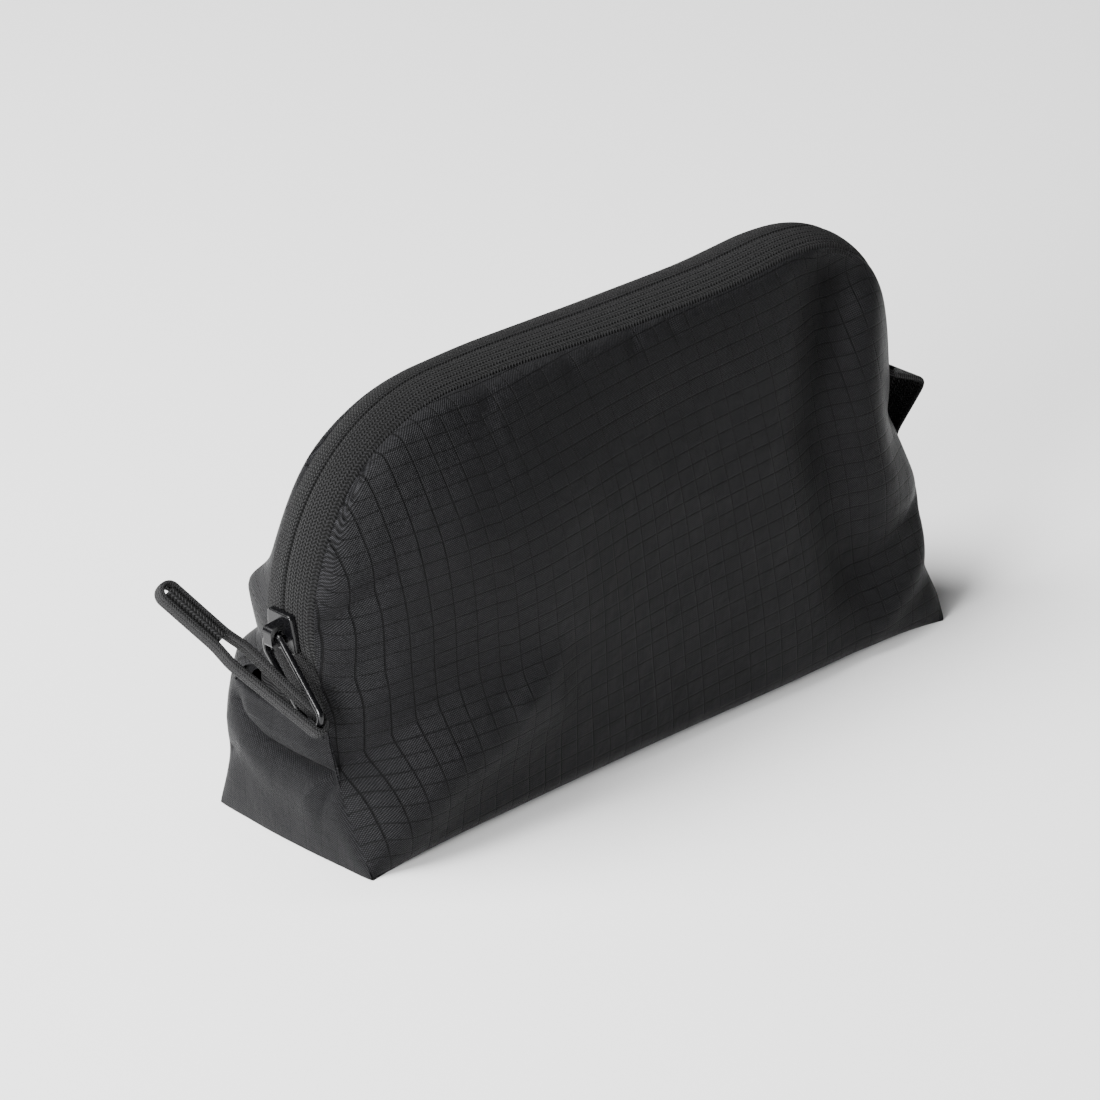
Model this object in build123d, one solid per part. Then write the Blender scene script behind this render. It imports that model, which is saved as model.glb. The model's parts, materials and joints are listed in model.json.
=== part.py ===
# A small soft zip pouch with arched front and back panels, boxed ends and a hanging loop.
# Millimetres. X runs along the length with the zip slider at the -X end, the front is -Y, +Z is up,
# and the origin is the middle of the face that the bag stands on.
from build123d import *
import os
from math import cos, radians, sin, tan

# Body
BAG_LENGTH = 210.0  # along the bottom edge
BAG_DEPTH = 58.0  # across the bottom
BAG_HEIGHT = 116.0
END_REACH = BAG_LENGTH / 2 + 2.0  # how far the zip's curve reaches from the middle
CORNER_RADIUS = 50.0  # of the zip's curve at each top corner
RUN_ANGLE = 12.0  # how far the curve goes on below its widest point, in degrees
GUSSET_HEIGHT = 38.0  # where the end gussets meet the zip
TAPE_WIDTH = 19.0  # both zip tapes together, seam to seam
GUSSET_TOP_WIDTH = TAPE_WIDTH + 10.0
BELLY_DEPTH = BAG_DEPTH - 9.0  # the depth at the height of the belly
BELLY_SHARE = 0.45  # height of the belly's section, as a share of the whole height
FOOT_SHARE = 0.03  # height of the panel's lowest section
GUSSET_MID_WIDTH = BAG_DEPTH - 16.0
GUSSET_MID_HEIGHT = 18.0

# Fabric and zip
WALL = 0.8  # outer fabric with its seam allowance
LINING_GAP = 0.3
LINING = 0.5
SLOT = 2.0  # between the two zip tapes
COIL_GAP = 0.1
COIL_WIDTH = 2.2
COIL_THICKNESS = 1.7
STOP_LOW = BAG_HEIGHT - CORNER_RADIUS - 16.0
STOP_HIGH = STOP_LOW + 4.0
HEM_THICKNESS = 0.9
HEM_LOW = GUSSET_HEIGHT - 6.5
HEM_HIGH = GUSSET_HEIGHT + 1.5
SKIN_GAP = 0.05  # between layers that lie on each other

# Slider
SLIDER_ANGLE = 6.0  # how far below the curve's widest point it rests, in degrees
SLIDER_LENGTH = 11.0
FLANGE = 0.8
FLANGE_TOP = WALL + 0.8  # depth of the flanges' edge under the tape
SLIDER_NARROW = SLOT + 2 * (COIL_WIDTH + FLANGE) + 0.6
SLIDER_WIDE = SLIDER_NARROW + 1.4
SLIDER_LIFT = 0.45  # upper plate over the tape
UPPER_PLATE = 1.5
LOWER_PLATE_TOP = WALL + COIL_GAP + COIL_THICKNESS + 0.7  # depth of its face under the tape
LOWER_PLATE = 1.3
POST_WIDTH = SLOT - 0.9
POST_LENGTH = 3.0
RING_WIRE = 1.8
CROWN_WIDTH = 3.0
CROWN_BORE = 2 * RING_WIRE - 0.2  # the ring turns in it
CROWN_FLOOR = 0.1
CROWN_LEG = 1.2
CROWN_ROOF = 0.9

# Puller
RING_WIDTH = 8.4
RING_LENGTH = 28.0
RING_SWIVEL = 45.0  # turned in its crown towards the front, in degrees
RING_LIFT = 8.0  # stands off the tape, in degrees
STRAP_THICKNESS = 1.2
STRAP_WIDTH = RING_WIDTH - 2 * RING_WIRE - 1.1  # clears the curve of the ring's end
STRAP_EYE = RING_WIRE / 2 + 0.7  # inner radius at the ring
TAB_LENGTH = 53.5  # from the eye's middle to the tip
TAB_FOLD = 24.0  # angle between the tab and the ring, in degrees
CORE_LENGTH = 17.0
CORE_GAP = 0.1

# Hanging loop
LOOP_WIDTH = 20.0
LOOP_THICKNESS = 1.5
LOOP_REACH = 13.0
LOOP_LOW = BAG_HEIGHT - CORNER_RADIUS - 16.0
LOOP_HIGH = BAG_HEIGHT - CORNER_RADIUS + 4.0
LOOP_TIP = (LOOP_LOW + LOOP_HIGH) / 2 + 2.0
LOOP_FOOT = 4.0
LOOP_BEND = 2.4

HALF_LENGTH = BAG_LENGTH / 2
CORNER_X = END_REACH - CORNER_RADIUS
CORNER_Z = BAG_HEIGHT - CORNER_RADIUS
REACH_ALL = 2 * BAG_LENGTH  # larger than the bag, for cutting solids


def curve_point(angle, inset):
    """X and Z on the right-hand corner's arc, the angle counted up from its widest point."""
    radius = CORNER_RADIUS - inset
    return CORNER_X + radius * cos(radians(angle)), CORNER_Z + radius * sin(radians(angle))


def run_point(height, inset):
    """X on the straight run below the corner's arc."""
    x, z = curve_point(-RUN_ANGLE, inset)
    return x - (z - height) * tan(radians(RUN_ANGLE))


def section(y, inset, share):
    """The bag's arched outline at one depth, squashed down to a share of its height."""
    foot = HALF_LENGTH - inset
    waist = [(run_point(GUSSET_HEIGHT, inset), GUSSET_HEIGHT), curve_point(-RUN_ANGLE, inset)]
    right = [(foot, inset)]
    right += [(foot + (x - foot) * share, z) for x, z in waist]
    right += [curve_point((90 - RUN_ANGLE) / 2, inset), curve_point(90, inset)]
    right = [Vector(x, y, inset + (z - inset) * share) for x, z in right]
    left = [Vector(-p.X, p.Y, p.Z) for p in right]
    edges = [Line(left[0], right[0])]
    edges += [Line(right[0], right[1]), Line(right[1], right[2])]
    edges += [ThreePointArc(right[2], right[3], right[4]), Line(right[4], left[4])]
    edges += [ThreePointArc(left[4], left[3], left[2])]
    edges += [Line(left[2], left[1]), Line(left[1], left[0])]
    return make_face(edges)


def envelope(inset):
    """The whole bag as one solid, its faces moved in by the inset."""
    half = [
        (BAG_DEPTH / 2 - inset, FOOT_SHARE),
        (BELLY_DEPTH / 2 - inset, BELLY_SHARE),
        (TAPE_WIDTH / 2 - inset, 1.0),
    ]
    sections = [section(-y, inset, share) for y, share in half]
    sections += [section(y, inset, share) for y, share in reversed(half)]
    return loft(sections, ruled=True)


def skin(outer, inner):
    return envelope(outer) - envelope(inner)


def block(low, high):
    """A box between two corners."""
    size = [b - a for a, b in zip(low, high)]
    middle = [(a + b) / 2 for a, b in zip(low, high)]
    return Pos(*middle) * Box(*size)


def zip_zone(low_y, high_y, low_z=GUSSET_HEIGHT, high_z=2 * BAG_HEIGHT):
    return block((-REACH_ALL, low_y, low_z), (REACH_ALL, high_y, high_z))


def end_zone(side, low_z, high_z):
    """The wedge at one end that the gusset is cut from: -1 is the slider's end."""
    points = [
        (BAG_DEPTH / 2, 0),
        (GUSSET_MID_WIDTH / 2, GUSSET_MID_HEIGHT),
        (GUSSET_TOP_WIDTH / 2, GUSSET_HEIGHT),
        (GUSSET_TOP_WIDTH / 2, 2 * GUSSET_HEIGHT),
    ]
    outline = Polyline(points + [(-y, z) for y, z in reversed(points)], close=True)
    wedge = extrude(Plane.YZ * make_face(outline), REACH_ALL)
    wedge = Pos(run_point(GUSSET_HEIGHT, 0) - 3, 0, 0) * wedge
    if side < 0:
        wedge = mirror(wedge, Plane.YZ)
    return wedge & block((-REACH_ALL, -REACH_ALL, low_z), (REACH_ALL, REACH_ALL, high_z))


def both_sides(name, shape):
    """A piece and its mirror image at the other end."""
    return {name + "_right": shape, name + "_left": mirror(shape, Plane.YZ)}


def body_pieces():
    """The outer fabric: one panel for front, bottom and back, and a gusset at each end."""
    shell = skin(0, WALL)
    gusset = end_zone(1, WALL, GUSSET_HEIGHT)
    panel = shell - gusset - mirror(gusset, Plane.YZ) - zip_zone(-TAPE_WIDTH / 2, TAPE_WIDTH / 2)
    return {"body_panel": panel, **both_sides("end_gusset", shell & gusset)}


def hem_pieces():
    """The folded, stitched band along each gusset's top edge."""
    band = skin(-HEM_THICKNESS - SKIN_GAP, -SKIN_GAP) & end_zone(1, HEM_LOW, HEM_HIGH)
    return both_sides("gusset_hem", band)


def lining_pieces():
    """The lining follows the fabric and stops at the zip."""
    outer = WALL + LINING_GAP
    shell = skin(outer, outer + LINING)
    gusset = end_zone(1, outer + LINING, GUSSET_HEIGHT - LINING)
    gusset = Pos(-outer, 0, 0) * gusset
    panel = shell - gusset - mirror(gusset, Plane.YZ)
    panel -= zip_zone(-TAPE_WIDTH / 2, TAPE_WIDTH / 2, GUSSET_HEIGHT - LINING)
    return {"lining_body": panel, **both_sides("lining_end", shell & gusset)}


def zip_pieces():
    """Two tapes, two coils under them, and the stops at the ends of the coils."""
    half_slot = SLOT / 2
    tape = skin(0, WALL) & zip_zone(half_slot, TAPE_WIDTH / 2, GUSSET_HEIGHT + SKIN_GAP)
    top = WALL + COIL_GAP
    chain = skin(top, top + COIL_THICKNESS)
    coil = chain & zip_zone(half_slot, half_slot + COIL_WIDTH, STOP_HIGH + SKIN_GAP)
    stop_zone = zip_zone(half_slot, half_slot + COIL_WIDTH, STOP_LOW, STOP_HIGH)
    bridge = zip_zone(-half_slot - COIL_WIDTH, half_slot + COIL_WIDTH, STOP_LOW, STOP_HIGH)
    left = block((-REACH_ALL, -REACH_ALL, 0), (0, REACH_ALL, REACH_ALL))
    top_stop = chain & stop_zone & left
    return {
        "zip_tape_front": mirror(tape, Plane.XZ),
        "zip_tape_back": tape,
        "zip_coil_front": mirror(coil, Plane.XZ),
        "zip_coil_back": coil,
        "zip_top_stops": Compound(children=[*top_stop.solids(), *mirror(top_stop, Plane.XZ).solids()]),
        "zip_bottom_stop": chain & bridge - left,
    }


def loop_piece():
    """The hanging loop: a folded webbing at the zip's other end, open along Y."""
    low_x = run_point(LOOP_LOW, 0) + HEM_THICKNESS
    high_x = curve_point(0, 0)[0] + SKIN_GAP
    half = LOOP_THICKNESS / 2
    points = [
        (low_x + half, LOOP_LOW - LOOP_FOOT),
        (low_x + half, LOOP_LOW),
        (high_x + LOOP_REACH, LOOP_TIP),
        (high_x + half, LOOP_HIGH - LOOP_FOOT),
        (high_x + half, LOOP_HIGH),
    ]
    path = FilletPolyline(*points, radius=LOOP_BEND)
    band = trace(path, LOOP_THICKNESS)
    return extrude(Plane.XZ * band, LOOP_WIDTH / 2, both=True)


def slider_frame():
    """X runs along the zip towards its closed end, Y across it and Z away from the bag."""
    x, z = curve_point(-SLIDER_ANGLE, 0)
    along = (-sin(radians(SLIDER_ANGLE)), 0, cos(radians(SLIDER_ANGLE)))
    out = (-cos(radians(SLIDER_ANGLE)), 0, -sin(radians(SLIDER_ANGLE)))
    return Plane(origin=(-x, 0, z), x_dir=along, z_dir=out)


def crown_height():
    """The middle of the crown's bore, over the tape."""
    return SLIDER_LIFT + UPPER_PLATE + CROWN_FLOOR + CROWN_BORE / 2


def slider_piece():
    """Two plates joined by a post that runs in the slot between the tapes, with a cast crown."""
    half = SLIDER_LENGTH / 2
    outline = Polyline(
        (-half, -SLIDER_WIDE / 2), (0, -SLIDER_WIDE / 2), (half, -SLIDER_NARROW / 2),
        (half, SLIDER_NARROW / 2), (0, SLIDER_WIDE / 2), (-half, SLIDER_WIDE / 2), close=True)
    plate = make_face(outline)
    plate = fillet(plate.vertices(), 1.2)
    upper = Pos(0, 0, SLIDER_LIFT) * extrude(plate, UPPER_PLATE)
    upper = fillet(upper.faces().sort_by(Axis.Z)[-1].edges(), 0.5)
    lower = Pos(0, 0, -LOWER_PLATE_TOP - LOWER_PLATE) * extrude(plate, LOWER_PLATE)
    rim = plate - offset(plate, -FLANGE)
    rim -= Rectangle(2 * SLIDER_LENGTH, SLIDER_NARROW - 2 * FLANGE)
    flange = Pos(0, 0, -LOWER_PLATE_TOP) * extrude(rim, LOWER_PLATE_TOP - FLANGE_TOP)
    post = block(
        (-half + 1.0, -POST_WIDTH / 2, -LOWER_PLATE_TOP - LOWER_PLATE / 2),
        (-half + 1.0 + POST_LENGTH, POST_WIDTH / 2, SLIDER_LIFT + UPPER_PLATE / 2))
    low = SLIDER_LIFT + UPPER_PLATE
    reach = CROWN_BORE / 2 + CROWN_LEG
    crown = block(
        (-reach, -CROWN_WIDTH / 2, low - UPPER_PLATE / 2),
        (reach, CROWN_WIDTH / 2, crown_height() + CROWN_BORE / 2 + CROWN_ROOF))
    crown = fillet(crown.edges().filter_by(Axis.Y).group_by(Axis.Z)[-1], 1.4)
    bore = Pos(0, 0, crown_height()) * Rot(90, 0, 0) * Cylinder(CROWN_BORE / 2, 2 * CROWN_WIDTH)
    return slider_frame() * (upper + lower + flange + post + (crown - bore))


def crown_frame():
    """The middle of the crown's bore, with Y along the ring's wire there."""
    return Location(slider_frame()) * Pos(0, 0, crown_height())


def ring_frame():
    """X runs down the ring from its round end's middle, and Z away from the bag."""
    middle = crown_frame() * Rot(0, RING_LIFT, 0) * Pos(-(RING_WIDTH - RING_WIRE) / 2, 0, 0)
    return middle * Rot(0, 0, 180 + RING_SWIVEL)


def ring_piece():
    """A long round-ended wire ring, threaded through the crown."""
    radius = (RING_WIDTH - RING_WIRE) / 2
    run = RING_LENGTH - RING_WIDTH
    corners = [(0, radius, 0), (run, radius, 0), (run, -radius, 0), (0, -radius, 0)]
    sides = [Line(corners[0], corners[1]), Line(corners[2], corners[3])]
    ends = [ThreePointArc(corners[1], (run + radius, 0, 0), corners[2])]
    ends += [ThreePointArc(corners[3], (-radius, 0, 0), corners[0])]
    path = Wire([sides[0], ends[0], sides[1], ends[1]])
    profile = Plane(origin=path @ 0, z_dir=path % 0) * Circle(RING_WIRE / 2)
    return ring_frame() * sweep(profile, path=path)


def tab_frame():
    """X runs along the tab from the middle of its eye, Y across the strap."""
    radius = (RING_WIDTH - RING_WIRE) / 2
    sag = radius - (radius**2 - (STRAP_WIDTH / 2) ** 2) ** 0.5
    eye = RING_LENGTH - RING_WIDTH + radius - sag / 2
    return ring_frame() * Pos(eye, 0, 0) * Rot(0, 180 + TAB_FOLD, 0)


def tab_pieces():
    """A strap folded round the ring, with a core sewn between its legs at the grip."""
    outer = STRAP_EYE + STRAP_THICKNESS
    far = TAB_LENGTH - outer
    loop = SlotCenterToCenter(far, 2 * outer) - SlotCenterToCenter(far, 2 * STRAP_EYE)
    strap = Pos(far / 2, 0, 0) * loop
    strap = extrude(Plane.XZ * strap, STRAP_WIDTH / 2, both=True)
    half = STRAP_EYE - CORE_GAP
    low = far - CORE_LENGTH
    core = block((low, -STRAP_WIDTH / 2, -half), (far, STRAP_WIDTH / 2, half))
    core += Pos(far, 0, 0) * Rot(90, 0, 0) * Cylinder(half, STRAP_WIDTH)
    place = tab_frame()
    return {"pull_strap": place * strap, "pull_core": place * core}


def bag():
    pieces = {**body_pieces(), **hem_pieces(), **lining_pieces(), **zip_pieces()}
    pieces["hang_loop"] = loop_piece()
    pieces["slider"] = slider_piece()
    pieces["puller_ring"] = ring_piece()
    pieces.update(tab_pieces())
    return pieces


def print_axis(title, place):
    """A hinge's point and direction, which the joints repeat."""
    frame = Plane(place)
    print(title, "at", frame.origin, "along", frame.y_dir)


os.makedirs("parts", exist_ok=True)
for name, shape in bag().items():
    export_step(shape, "parts/" + name + ".step")
print("slider travel at", (-CORNER_X, 0, CORNER_Z), "along", (0, 1, 0))
print_axis("puller swing", crown_frame())
print_axis("tab swing", tab_frame())
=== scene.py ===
"""A small black zip pouch of ripstop nylon, laid out as an add-on and run as a script."""

import json
from functools import partial
from math import cos, pi, radians, sin

import bpy
import numpy as np
from mathutils import Matrix, Vector


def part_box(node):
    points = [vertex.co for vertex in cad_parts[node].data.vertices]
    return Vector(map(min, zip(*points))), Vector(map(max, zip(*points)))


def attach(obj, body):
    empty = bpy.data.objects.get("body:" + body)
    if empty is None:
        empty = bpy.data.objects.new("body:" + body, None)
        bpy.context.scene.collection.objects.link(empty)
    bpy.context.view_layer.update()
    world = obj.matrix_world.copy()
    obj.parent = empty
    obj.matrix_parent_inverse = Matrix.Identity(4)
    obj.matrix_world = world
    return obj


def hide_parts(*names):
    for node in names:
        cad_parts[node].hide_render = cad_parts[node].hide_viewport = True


bl_info = {
    "name": "Ripstop Zip Pouch",
    "version": (1, 0, 0),
    "blender": (4, 5, 0),
    "location": "View3D > Sidebar > Pouch",
    "description": "Builds the soft pieces, the materials and the stage of a small zip pouch",
    "category": "Object",
}

MM = 0.001
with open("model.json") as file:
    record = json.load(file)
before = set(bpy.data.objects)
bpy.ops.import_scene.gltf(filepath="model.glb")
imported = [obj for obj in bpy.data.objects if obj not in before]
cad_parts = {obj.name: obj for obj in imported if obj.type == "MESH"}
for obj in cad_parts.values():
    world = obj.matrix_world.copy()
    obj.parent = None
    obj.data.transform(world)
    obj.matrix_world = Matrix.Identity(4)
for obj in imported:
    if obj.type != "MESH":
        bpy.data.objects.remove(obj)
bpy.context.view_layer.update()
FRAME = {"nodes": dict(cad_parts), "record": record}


def box_mm(node):
    """A CAD node's lowest and highest corners in millimetres."""
    low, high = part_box(node)
    return np.array(low) / MM, np.array(high) / MM


# Sizes that follow from the frame, in millimetres
GUSSET_LOW, GUSSET_HIGH = box_mm("end_gusset_left")
HINGES = {joint["name"]: joint for joint in FRAME["record"]["behaviour"]["joints"]}
PIVOT = np.array(HINGES["slider_travel"]["pos_m"]) / MM
CORNER_X, CORNER_Z = -PIVOT[0], PIVOT[2]  # middle of each corner's arc
TOP = box_mm("zip_tape_front")[1][2]
RADIUS = TOP - CORNER_Z
HALF_DEPTH = box_mm("body_panel")[1][1]
HALF_LENGTH = -GUSSET_LOW[0]
MOUTH = GUSSET_HIGH[2]  # top of the gussets
RUN = radians(12)  # how far the zip's straight ends lean inwards, going down
RUN_LENGTH = (CORNER_Z - RADIUS * sin(RUN) - MOUTH) / cos(RUN)
ARC_LENGTH = RADIUS * (pi / 2 + RUN)
ZIP_LENGTH = 2 * (RUN_LENGTH + ARC_LENGTH + CORNER_X)
MID_CORNER = RUN_LENGTH + RADIUS * (radians(45) + RUN)


# ---------------------------------------------------------------- small helpers

def hex_colour(text):
    """An sRGB hex colour as linear RGBA."""
    parts = [int(text[i:i + 2], 16) / 255 for i in (1, 3, 5)]
    linear = [c / 12.92 if c <= 0.04045 else ((c + 0.055) / 1.055) ** 2.4 for c in parts]
    return (*linear, 1.0)


def eased(value, stops, results, width=0.0):
    """Interpolates between stops, rounded off over a width."""
    value = np.asarray(value, dtype=float)
    if not width:
        return np.interp(value, stops, results)
    offsets = np.linspace(-width, width, 9)
    weights = 1 - np.abs(offsets) / (1.2 * width)
    total = sum(w * np.interp(value + o, stops, results) for o, w in zip(offsets, weights))
    return total / weights.sum()


def resampled(points, count, spread=None):
    """Points spaced evenly along a line, or at the shares of it in spread."""
    points = np.asarray(points, dtype=float)
    steps = np.r_[0, np.cumsum(np.linalg.norm(np.diff(points, axis=0), axis=1))]
    shares = np.linspace(0, 1, count) if spread is None else spread
    return np.stack([np.interp(shares * steps[-1], steps, points[:, i]) for i in range(3)], axis=1)


def rounded(points, passes):
    """Takes the corners off a dense line and keeps its ends."""
    points = points.copy()
    for _ in range(passes):
        points[1:-1] = (points[:-2] + 2 * points[1:-1] + points[2:]) / 4
    return points


def crease(u, v, line, depth, width, power=1.4):
    """A valley of a depth and width along a line, each given at its two ends."""
    best = np.full(u.shape, 1e9)
    share = np.zeros(u.shape)
    line = np.asarray(line, dtype=float)
    count = len(line) - 1
    for i in range(count):
        a, b = line[i], line[i + 1]
        run = b - a
        t = np.clip(((u - a[0]) * run[0] + (v - a[1]) * run[1]) / (run @ run), 0, 1)
        away = np.hypot(u - a[0] - t * run[0], v - a[1] - t * run[1])
        nearer = away < best
        best = np.where(nearer, away, best)
        share = np.where(nearer, (i + t) / count, share)
    deep = depth[0] + (depth[1] - depth[0]) * share
    wide = width[0] + (width[1] - width[0]) * share
    return deep * np.exp(-(best / wide) ** power)


def ripple(u, v, seed, pitch, height):
    """Low waves with no repeat over the piece."""
    turns = np.random.default_rng(seed)
    total = np.zeros(np.shape(u))
    for _ in range(7):
        angle, phase = turns.uniform(0, 2 * pi, 2)
        size = pitch * turns.uniform(0.7, 1.6)
        total = total + np.sin(2 * pi * (u * cos(angle) + v * sin(angle)) / size + phase)
    return total * height / 7


def mesh_piece(name, verts, faces, uvs=None):
    """A mesh from points in millimetres, with its flat lengths as the UV map."""
    mesh = bpy.data.meshes.new(name)
    mesh.from_pydata((np.asarray(verts) * MM).tolist(), [], faces)
    if uvs is not None:
        layer = mesh.uv_layers.new(name="flat_mm")
        index = np.empty(len(mesh.loops), dtype=int)
        mesh.loops.foreach_get("vertex_index", index)
        layer.data.foreach_set("uv", np.asarray(uvs, dtype=float)[index].ravel())
    mesh.validate()
    piece = bpy.data.objects.new(name, mesh)
    bpy.context.scene.collection.objects.link(piece)
    return piece


def grid_faces(rows, columns, closed=False, flip=False):
    """Quads of a grid, closed round its columns if asked."""
    faces = []
    last = columns if closed else columns - 1
    for r in range(rows - 1):
        for c in range(last):
            d = (c + 1) % columns
            quad = (r * columns + c, r * columns + d, (r + 1) * columns + d, (r + 1) * columns + c)
            faces.append(quad[::-1] if flip else quad)
    return faces


def grid_piece(name, points, flat, flip=False):
    """A sheet from a grid of points and their flat coordinates."""
    rows, columns = points.shape[:2]
    faces = grid_faces(rows, columns, flip=flip)
    return mesh_piece(name, points.reshape(-1, 3), faces, flat.reshape(-1, 2))


def select_none():
    bpy.ops.object.select_all(action="DESELECT")


def select_only(piece):
    select_none()
    piece.select_set(True)
    bpy.context.view_layer.objects.active = piece


def finish_modifiers(piece):
    """Applies every modifier on a piece."""
    select_only(piece)
    for modifier in list(piece.modifiers):
        bpy.ops.object.modifier_apply(modifier=modifier.name)


def thicken(piece, thickness):
    """Gives a sheet its thickness in millimetres, inwards."""
    wall = piece.modifiers.new("wall", "SOLIDIFY")
    wall.thickness = thickness * MM
    wall.offset = -1.0
    wall.use_even_offset = False
    finish_modifiers(piece)


def face_outwards(piece):
    """Turns the faces of a closed piece outwards."""
    select_only(piece)
    bpy.ops.object.mode_set(mode="EDIT")
    bpy.ops.mesh.select_all(action="SELECT")
    bpy.ops.mesh.normals_make_consistent(inside=False)
    bpy.ops.object.mode_set(mode="OBJECT")


def soften(piece):
    """Adds one round of subdivision."""
    rounder = piece.modifiers.new("rounder", "SUBSURF")
    rounder.levels = rounder.render_levels = 1


def smooth(piece, angle=60):
    """Shades a piece smooth, with edges sharper than the angle in degrees."""
    select_only(piece)
    bpy.ops.object.shade_smooth_by_angle(angle=radians(angle))


def dress(piece, body, slot, material, *nodes):
    """Puts a finished piece on its body in place of CAD nodes."""
    piece.data.materials.clear()
    piece.data.materials.append(material)
    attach(piece, body)
    if nodes:
        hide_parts(*nodes)


# ---------------------------------------------------------------- shapes of the pouch

def zip_line(s, drop=0.0):
    """The zip's middle line: X, Z and its outward X, Z at lengths from the left end."""
    s = np.asarray(s, dtype=float)
    half = ZIP_LENGTH / 2
    near = np.minimum(s, ZIP_LENGTH - s)
    side = np.where(s < half, -1.0, 1.0)
    below = RUN_LENGTH - near
    angle = np.clip((near - RUN_LENGTH) / RADIUS - RUN, -RUN, pi / 2)
    out_x, out_z = np.cos(angle), np.sin(angle)
    x = CORNER_X + RADIUS * out_x
    z = CORNER_Z + RADIUS * out_z
    x = np.where(below > 0, x - below * sin(RUN), x)
    z = np.where(below > 0, z - below * cos(RUN), z)
    x = np.where(near > RUN_LENGTH + ARC_LENGTH, CORNER_X - (near - RUN_LENGTH - ARC_LENGTH), x)
    share = s / ZIP_LENGTH
    lift = eased(share, [0, 0.2, 0.3, 0.38, 0.5, 0.62, 0.70, 0.745, 0.79, 0.84, 0.89, 0.95, 1],
                 [0, -0.4, -0.6, 0.3, -0.6, -0.4, 1.8, 5.0, 4.8, 0.4, -3.2, -3.2, -0.8], 0.03)
    away = lift - drop
    return side * (x + out_x * away), z + out_z * away, side * out_x, out_z


SEAM_SHARE = [0, 0.05, 0.14, 0.2, 0.35, 0.5, 0.61, 0.7, 0.8, 0.92, 1]
FRONT_SEAM_Y = [8.4, 8.6, 9.8, 9.0, 9.8, 10.8, 11.0, 9.8, 9.4, 9.2, 9.0]
BACK_SEAM_Y = [9.0, 8.4, 6.6, 6.2, 7.8, 9.8, 9.7, 9.5, 9.5, 9.4, 9.2]
SEAM_DROP = [0.8, 1.0, 2.0, 2.1, 2.5, 3.0, 3.1, 3.0, 2.6, 1.6, 1.0]


def tape_seam(s, face):
    """Where a tape is sewn to the fabric; face is -1 in front and 1 behind."""
    share = np.asarray(s) / ZIP_LENGTH
    wide = eased(share, SEAM_SHARE, FRONT_SEAM_Y if face < 0 else BACK_SEAM_Y, 0.03)
    drop = eased(share, SEAM_SHARE, SEAM_DROP, 0.03)
    x, z, _, _ = zip_line(s, drop)
    return np.stack([x, face * wide, z], axis=-1)


# The gussets' seams: height, how far in from the end, and half the depth there
GUSSET_SEAMS = {
    (-1, -1): ([0, 4, 10, 17, 24, 31, 38, 44], [0, 0.2, 0.6, 1.3, 2.4, 1.3, 0.9, 1.2],
               [29.0, 26.4, 21.8, 17.2, 13.4, 12.2, 11.6, 10.0]),
    (-1, 1): ([0, 8, 16, 20, 26, 32, 38, 44], [0, 0.3, 0.9, 0.8, 0.5, 0.6, 0.9, 1.4],
              [29.0, 26.6, 25.2, 25.8, 26.2, 25.0, 22.8, 19.4]),
    (1, -1): ([0, 8, 16, 22, 28, 34, 38, 44], [-1.4, -0.4, 1.4, 1.6, 1.0, 0.8, 0.9, 1.4],
              [29.2, 27.0, 23.4, 22.2, 21.0, 20.0, 19.2, 17.6]),
    (1, 1): ([0, 8, 16, 22, 28, 34, 38, 44], [-1.0, 0.1, 0.9, 1.0, 0.9, 0.8, 0.9, 1.4],
             [28.6, 25.6, 22.6, 21.0, 18.8, 16.6, 15.0, 11.6]),
}


def gusset_seam(side, face, z):
    """The seam between a gusset and the body at some heights."""
    heights, inward, halves = GUSSET_SEAMS[side, face]
    x = HALF_LENGTH - eased(z, heights, inward, 2.0)
    y = eased(z, heights, halves, 2.0)
    return np.stack([side * x, face * y, np.asarray(z) * np.ones_like(x)], axis=-1)


def body_edge(side, face, spread):
    """The body's edge from the corner arc's middle down to the bottom."""
    lengths = np.linspace(MID_CORNER, 9.0 if side < 0 else 20.0, 80)
    if side > 0:
        lengths = ZIP_LENGTH - lengths
    upper = tape_seam(lengths, face)
    lower = gusset_seam(side, face, np.linspace(42, 0, 90))
    line = rounded(resampled(np.vstack([upper, lower]), 400), 60)
    return resampled(line, len(spread), spread)


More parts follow.
